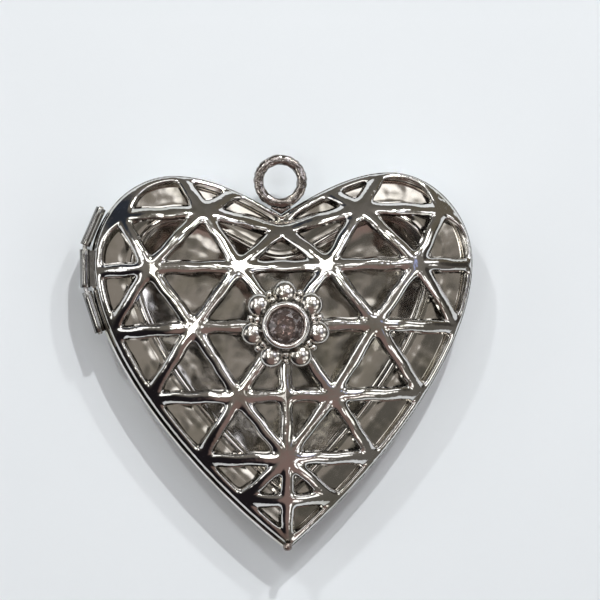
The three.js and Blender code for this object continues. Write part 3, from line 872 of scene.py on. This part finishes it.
def build_pin():
    """A wire through the three tubes, bent at the gaps between them."""
    def beyond(line):
        a, b = np.array(line[0]), np.array(line[1])
        return b + PIN_BEYOND * (b - a)

    corners = np.array([beyond(LOWER_LINE), LOWER_LINE[0],
                        (HINGE_X, MIDDLE_LINE[0][1] - BEND_GAP),
                        (HINGE_X, MIDDLE_LINE[1][1] + BEND_GAP),
                        UPPER_LINE[0], beyond(UPPER_LINE)])
    path = even_steps(corners, 90)
    for _ in range(3):
        path[1:-1] = (path[:-2] + 2 * path[1:-1] + path[2:]) / 4
    vertices, faces = sweep_mesh(path, PIN_RADIUS)
    return finish_piece(make_piece("bent_hinge_pin", vertices, faces, WIRE_METAL, 40),
                        "back", "hinge_pin")


# ------------------------------ ring at the cleft
RING_HALF_HEIGHT = (RING_HIGH[2] - RING_LOW[2]) / 2
RING_HALF_WIDTH = 0.4
# The section is a circle squared off by this power, 1 for a true circle.
RING_SQUARING = 0.75
# Depth of the rough skin, its noise, and the section's radius in that noise where the ring's is 1.
RING_PITS = 0.06
PIT_NOISE = 5
PIT_SECTION = 0.3
RING_RADIUS = (RING_HIGH[0] - RING_LOW[0]) / 2 - RING_HALF_WIDTH
RING_CENTRE = (RING_LOW + RING_HIGH) / 2


def build_ring():
    """A flattened ring with a rough cast skin."""
    around, about = 200, 40
    angles = np.linspace(0, 2 * math.pi, about, endpoint=False)
    across = np.sign(np.cos(angles)) * np.abs(np.cos(angles)) ** RING_SQUARING
    up = np.sign(np.sin(angles)) * np.abs(np.sin(angles)) ** RING_SQUARING
    rows = []
    for i in range(around):
        turn = 2 * math.pi * i / around
        out = np.stack([math.cos(turn) + PIT_SECTION * across * math.cos(turn),
                        math.sin(turn) + PIT_SECTION * across * math.sin(turn),
                        PIT_SECTION * up], 1)
        pits = np.array([noise.noise(Vector(point) * PIT_NOISE) for point in out]) * RING_PITS
        radius = RING_RADIUS + (RING_HALF_WIDTH - RING_PITS / 2 + pits) * across
        rows.append(np.stack([RING_CENTRE[0] + radius * math.cos(turn),
                              RING_CENTRE[1] + radius * math.sin(turn),
                              RING_CENTRE[2] + (RING_HALF_HEIGHT + pits / 2) * up], 1))
    vertices, faces = rows_mesh(rows, wrap=True)
    faces = [face[::-1] for face in faces]
    return finish_piece(make_piece("soldered_ring", vertices, faces, RING_METAL),
                        "back", "suspension_ring")


LUG_HALF_WIDTH = 0.74
LUG_GAP = 0.06
LUG_OVERLAP = 0.02
# Layers of the solder: share of its outline and height over the ring's middle.
LUG_LAYERS = ((0.75, -0.24), (0.95, -0.2), (1.0, -0.08), (1.0, 0.08), (0.93, 0.19), (0.72, 0.25),
              (0.4, 0.29))


def build_lug():
    """Solder that fills the cleft's V up to the ring, bulging in the middle."""
    rise = abs(OUTLINE[-1][1] - OUTLINE[-20][1]) / abs(OUTLINE[-1][0] - OUTLINE[-20][0])
    reach = RING_RADIUS + RING_HALF_WIDTH - LUG_OVERLAP
    side = np.linspace(0, LUG_HALF_WIDTH, 8)
    lower = np.stack([side, CLEFT_Y + LUG_GAP + rise * side], 1)
    upper = np.stack([side, RING_CENTRE[1] - np.sqrt(reach**2 - side**2)], 1)
    right = np.concatenate([lower, upper[::-1]])
    loop = np.concatenate([right, (right * [-1, 1])[::-1][1:-1]])
    middle = loop.mean(0)
    rows = []
    for scale, z in LUG_LAYERS:
        flat = middle + (loop - middle) * scale
        rows.append(np.column_stack([flat, np.full(len(flat), RING_CENTRE[2] + z)]))
    vertices, faces = rows_mesh(rows, cap_first=True, cap_last=True)
    return finish_piece(make_piece("solder_lug", vertices, faces, RING_METAL),
                        "back", "ring_lug")


# ------------------------------ flower, cup and stone
PETALS = 7
PETAL = {"radius": 0.9, "height": 0.64, "orbit": 2.44, "lift": 0.5}
INNER_BEAD = {"radius": 0.28, "height": 0.28, "orbit": 2.1, "lift": 0.6}
OUTER_BEAD = {"radius": 0.3, "height": 0.3, "orbit": 2.6, "lift": 0.42}
PLATE = 0.34
PLATE_RADIUS = 2.1
PLATE_HOLE = 0.36
CUP_FOOT = CUP_LOW[2]
CUP_TOP = CUP_HIGH[2]
CUP_RADIUS = CUP_HIGH[0]
CUP_LIP = 1.33
CUP_HOLE = 0.34
CUP_FLOOR = 0.3
# The stone: radii of its table, of the points under the table's edge and of the keel's corners,
# and the heights of its pavilion and girdle.
TABLE_RADIUS = 0.72
STAR_RADIUS = 1.02
KEEL_RADIUS = 0.52
PAVILION = 0.72
GIRDLE = 0.1


def ball_mesh(centre, radius, height, foot, sides=32, rings=18):
    """A flattened ball, cut off at its foot."""
    profile = []
    for angle in np.linspace(-math.pi / 2, math.pi / 2, rings + 1):
        z = max(centre[2] + height * math.sin(angle), foot)
        profile.append((max(radius * math.cos(angle), 0.01), z))
    return lathe_mesh(profile, sides, centre[:2])


def rosette_plate():
    """A round plate with a hole for the rivet and softened edges."""
    profile = [(PLATE_HOLE, ROSE_FOOT), (PLATE_RADIUS - 0.1, ROSE_FOOT)]
    profile += [(PLATE_RADIUS - 0.02, ROSE_FOOT + 0.06), (PLATE_RADIUS, ROSE_FOOT + PLATE - 0.08)]
    profile += [(PLATE_RADIUS - 0.06, ROSE_FOOT + PLATE), (PLATE_HOLE, ROSE_FOOT + PLATE)]
    return lathe_mesh(profile, 96, wrap=True)


def build_rosette():
    """Ball petals on a round plate, with an inner and an outer bead between each pair."""
    parts = [rosette_plate()]
    for i in range(PETALS):
        angle = math.pi / 2 + 2 * math.pi * i / PETALS
        for ball, turn in ((PETAL, angle), (INNER_BEAD, angle + math.pi / PETALS),
                           (OUTER_BEAD, angle + math.pi / PETALS)):
            centre = (ball["orbit"] * math.cos(turn), ball["orbit"] * math.sin(turn),
                      ROSE_FOOT + ball["lift"])
            parts.append(ball_mesh(centre, ball["radius"], ball["height"], ROSE_FOOT))
    obj = make_piece("flower_rosette", *joined(parts), ROSE_METAL, 50)
    return finish_piece(obj, "cover", "rosette")


def build_cup():
    """A turned cup with a rounded lip and a seat under the stone's girdle."""
    floor = CUP_FOOT + CUP_FLOOR
    seat = STONE_LOW[2] + PAVILION - 0.04
    lip = arc_points(((CUP_RADIUS + CUP_LIP) / 2, CUP_TOP - 0.2), (CUP_RADIUS - CUP_LIP) / 2,
                     0, 180, 14)
    profile = [(CUP_HOLE, CUP_FOOT), (CUP_RADIUS - 0.15, CUP_FOOT), (CUP_RADIUS, CUP_FOOT + 0.15)]
    profile += [(CUP_RADIUS, CUP_TOP - 0.5)] + lip
    profile += [(CUP_LIP, seat), (0.62, floor), (CUP_HOLE, floor)]
    vertices, faces = lathe_mesh(profile, 96, wrap=True)
    return finish_piece(make_piece("bezel_cup", vertices, faces, CUP_METAL, 40),
                        "cover", "stone_cup")


def crystal_mesh(sides=8):
    """A brilliant cut: flat table, star, kite and girdle facets, and a faceted pavilion."""
    half = math.pi / sides
    table_z, tip_z = STONE_HIGH[2], STONE_LOW[2]
    girdle_low = tip_z + PAVILION
    girdle_top = girdle_low + GIRDLE
    rows = [
        ring_row(TABLE_RADIUS, table_z, sides),
        ring_row(STAR_RADIUS, (table_z + girdle_top) / 2 + 0.05, sides, half),
        ring_row(STONE_HIGH[0], girdle_top, 2 * sides),
        ring_row(STONE_HIGH[0], girdle_low, 2 * sides),
        ring_row(KEEL_RADIUS, tip_z + PAVILION / 2, sides, half),
    ]
    vertices = np.concatenate(rows + [[[0, 0, tip_z]]])
    table, star, upper, lower, keel = 0, sides, 2 * sides, 4 * sides, 6 * sides
    tip = 7 * sides
    faces = [tuple(range(sides))]
    for i in range(sides):
        after, before = (i + 1) % sides, (i - 1) % sides
        corner, middle, following = 2 * i, 2 * i + 1, (2 * i + 2) % (2 * sides)
        faces.append((table + i, star + i, table + after))
        faces.append((table + i, star + before, upper + corner, star + i))
        faces.append((star + i, upper + corner, upper + middle))
        faces.append((star + i, upper + middle, upper + following))
        faces.append((keel + i, lower + middle, lower + corner))
        faces.append((keel + i, lower + following, lower + middle))
        faces.append((keel + before, keel + i, lower + corner))
        faces.append((tip, keel + i, keel + before))
    return vertices, faces + band(lower, upper, 2 * sides)


def build_crystal():
    """The stone, with flat facets."""
    obj = make_piece("smoky_stone", *crystal_mesh(), STONE_GLASS)
    obj.data.polygons.foreach_set("use_smooth", [False] * len(obj.data.polygons))
    return finish_piece(obj, "cover", "crystal")


def build_rivet():
    """A shank through flower and cup with a low domed head under the lattice."""
    low, high = box_mm("rosette_rivet")
    head = high[0]
    shank = 0.3
    neck = low[2] + 0.24
    profile = [(0.01, low[2]), (head * 0.55, low[2] + 0.02), (head * 0.85, low[2] + 0.08),
               (head, low[2] + 0.18), (head, neck), (shank, neck), (shank, high[2] - 0.04),
               (shank - 0.04, high[2]), (0.01, high[2])]
    vertices, faces = lathe_mesh(profile, 48)
    return finish_piece(make_piece("domed_rivet", vertices, faces, RIVET_METAL, 40),
                        "cover", "rosette_rivet")


# The nib is a ball squared off by this power; its rows end at this latitude, in radians.
NIB_SQUARING = 0.85
NIB_LATITUDE = 1.45


def build_tip_catch():
    """The nib that hooks over the back's lip at the tip, in a darker copy of the cover's plating
    as painted shade.
    """
    low, high = box_mm("tip_catch")
    middle = (low + high) / 2
    size = (high - low) / 2
    rows = []
    for angle in np.linspace(-NIB_LATITUDE, NIB_LATITUDE, 15):
        row = ring_row(math.cos(angle), math.sin(angle), 36)
        row = np.sign(row) * np.abs(row) ** NIB_SQUARING
        rows.append(row * size + middle)
    vertices, faces = rows_mesh(rows, cap_first=True, cap_last=True)
    return finish_piece(make_piece("tip_nib", vertices, faces, NIB_METAL),
                        "cover", "tip_catch")


# ------------------------------ floor, room and camera
FLOOR_HALF = 600
FLOOR_GAP = 0.01
FLOOR_CELLS = 60
CARD, PALE_CARD = (0.765, 0.815, 0.86), (0.795, 0.845, 0.89)


def build_floor():
    """Pale card, slightly mottled."""
    material, nodes, links, shader = new_material("pale_card")
    place = nodes.new("ShaderNodeTexCoord")
    mottle = noise_of(nodes, links, place.outputs["Object"], FLOOR_CELLS, 4)
    links.new(mixed(nodes, links, mottle, CARD, PALE_CARD), shader.inputs["Base Color"])
    shader.inputs["Roughness"].default_value = 0.6
    half = FLOOR_HALF
    z = CAD_LOW[2] / MM - FLOOR_GAP
    vertices = [(-half, -half, z), (half, -half, z), (half, half, z), (-half, half, z)]
    make_piece("floor", vertices, [(0, 1, 2, 3)], material)


def direction(azimuth, elevation):
    """Unit vector from degrees round +Z from +X, and up from the floor."""
    a, e = math.radians(azimuth), math.radians(elevation)
    return Vector((math.cos(e) * math.cos(a), math.cos(e) * math.sin(a), math.sin(e)))


# The room that the metal mirrors: walls that turn into the ceiling between two values of the
# view's Z, with round patches painted over them in this order. Each has an azimuth, elevation,
# radius and softness in degrees, and a colour.
WALLS = (0.12, 0.112, 0.10)
CEILING = (0.185, 0.17, 0.151)
CEILING_RISE = (0.3, 0.85)
ROOM = [
    # The ceiling straight above, a dark figure, a warm hand, a grey shelf and two dark corners.
    (90, 90, 9, 6, (0.22, 0.2, 0.176)),
    (228, 16, 34, 14, (0.012, 0.010, 0.012)),
    (276, 48, 30, 10, (0.21, 0.145, 0.13)),
    (35, 14, 26, 10, (0.13, 0.115, 0.09)),
    (138, 14, 14, 6, (0.03, 0.036, 0.05)),
    (0, 8, 16, 6, (0.05, 0.045, 0.04)),
    # Windows and pale panels.
    (20, 35, 9, 3, (2.0, 2.0, 2.05)),
    (335, 38, 9, 3, (1.8, 1.8, 1.75)),
    (302, 27, 7, 3, (1.6, 1.55, 1.5)),
    (162, 33, 9, 3, (2.0, 2.0, 2.0)),
    (92, 69, 7, 3, (2.6, 2.6, 2.6)),
    (142, 62, 7, 3, (2.6, 2.6, 2.6)),
    (30, 64, 7, 3, (2.3, 2.35, 2.6)),
    # Ceiling lamps and two more windows.
    (190, 67, 5, 3, (6.0, 6.0, 5.8)),
    (58, 42, 6, 3, (5.0, 5.0, 5.0)),
    (120, 45, 5, 3, (5.0, 5.0, 5.0)),
    (182, 24, 8, 3, (1.8, 1.8, 1.8)),
    (314, 53, 5, 2, (1.8, 1.8, 1.8)),
    # Something dark near the zenith, two small glints and a faint blue one.
    (320, 83, 5, 3, (0.085, 0.08, 0.07)),
    (250, 80, 3, 2.5, (1.1, 1.07, 1.03)),
    (60, 81, 3, 2.5, (1.3, 1.27, 1.23)),
    (357, 60, 3, 2, (0.4, 0.45, 0.75)),
]


def patch_share(nodes, links, view, azimuth, elevation, size, soft):
    """1 inside a round patch of the room and 0 outside it."""
    facing = nodes.new("ShaderNodeVectorMath")
    facing.operation = "DOT_PRODUCT"
    facing.inputs[1].default_value = direction(azimuth, elevation)
    links.new(view, facing.inputs[0])
    outside = math.cos(math.radians(size + soft))
    inside = math.cos(math.radians(max(size - soft, 0)))
    return mapped(nodes, links, facing.outputs["Value"], (outside, inside),
                  interpolation="SMOOTHSTEP")


def build_room():
    """A dim brown-grey room with pale windows, as the polished metal mirrors it."""
    world = bpy.data.worlds.new("room")
    bpy.context.scene.world = world
    world.use_nodes = True
    nodes, links = world.node_tree.nodes, world.node_tree.links
    view = nodes.new("ShaderNodeTexCoord").outputs["Generated"]
    split = nodes.new("ShaderNodeSeparateXYZ")
    links.new(view, split.inputs["Vector"])
    rise = mapped(nodes, links, split.outputs["Z"], CEILING_RISE)
    colour = mixed(nodes, links, rise, WALLS, CEILING)
    for *patch, paint in ROOM:
        layer = nodes.new("ShaderNodeMixRGB")
        layer.inputs["Color2"].default_value = (*paint, 1)
        links.new(patch_share(nodes, links, view, *patch), layer.inputs["Fac"])
        links.new(colour, layer.inputs["Color1"])
        colour = layer.outputs["Color"]
    links.new(colour, nodes["Background"].inputs["Color"])


# Azimuth, elevation and power in watts of each lamp. Lamps are discs; their sizes and their
# distance from the origin are in metres.
LAMPS = [
    (74, 48, 0.92),
    (58, 41, 0.38),
    (120, 43, 0.37),
]
LAMP_SIZE = 0.008
LAMP_DISTANCE = 0.5
LAMP_COLOUR = (1.0, 0.99, 0.97)


def build_lamps():
    """Small lamps half a metre away, which give the shadows their edges."""
    for i, (azimuth, elevation, power) in enumerate(LAMPS):
        light = bpy.data.lights.new(f"lamp_{i}", "AREA")
        light.shape = "DISK"
        light.size = LAMP_SIZE
        light.energy = power
        light.color = LAMP_COLOUR
        lamp = bpy.data.objects.new(f"lamp_{i}", light)
        toward = direction(azimuth, elevation)
        lamp.location = toward * LAMP_DISTANCE
        lamp.rotation_euler = toward.to_track_quat("Z", "Y").to_euler()
        bpy.context.scene.collection.objects.link(lamp)


# The width that the camera sees at its distance from the target, in millimetres, and the turns
# of its view in degrees: its roll, and how far it stands left of and below the straight line down.
VIEW_WIDTH = 44.7
CAMERA_DISTANCE = 250.0
SENSOR = 36.0
ROLL = 1.1
TILT_LEFT = 2.5
TILT_DOWN = 1.0
# The target, in millimetres right and up in the picture, and above the floor.
AIM_RIGHT, AIM_UP, AIM_Z = 1.22, 1.94, 4.5
CLIP_START = 5


def build_camera():
    """Almost straight above, turned a little so that the heart leans to the left."""
    data = bpy.data.cameras.new("camera")
    data.sensor_width = SENSOR
    data.lens = SENSOR * CAMERA_DISTANCE / VIEW_WIDTH
    data.clip_start = CLIP_START * MM
    camera = bpy.data.objects.new("camera", data)
    roll = math.radians(ROLL)
    up = Vector((math.sin(roll), math.cos(roll), 0))
    right = Vector((math.cos(roll), -math.sin(roll), 0))
    target = right * AIM_RIGHT + up * AIM_UP + Vector((0, 0, AIM_Z))
    back = (Vector((0, 0, 1)) - right * math.tan(math.radians(TILT_LEFT))
            - up * math.tan(math.radians(TILT_DOWN))).normalized()
    side = up.cross(back).normalized()
    upright = back.cross(side)
    turn = Matrix((side, upright, back)).transposed().to_4x4()
    camera.matrix_world = Matrix.Translation((target + back * CAMERA_DISTANCE) * MM) @ turn
    bpy.context.scene.collection.objects.link(camera)
    bpy.context.scene.camera = camera


# ------------------------------ assembly
build_back_shell()
build_photo_frame()
build_cover()
build_knuckle("upper_hinge_tube", "upper_knuckle", "back", UPPER_LINE)
build_knuckle("middle_hinge_tube", "middle_knuckle", "cover", MIDDLE_LINE)
build_knuckle("lower_hinge_tube", "lower_knuckle", "back", LOWER_LINE)
build_pin()
build_ring()
build_lug()
build_rosette()
build_cup()
build_crystal()
build_rivet()
build_tip_catch()
build_floor()
build_room()
build_lamps()
build_camera()
bpy.context.scene.view_settings.view_transform = "Standard"
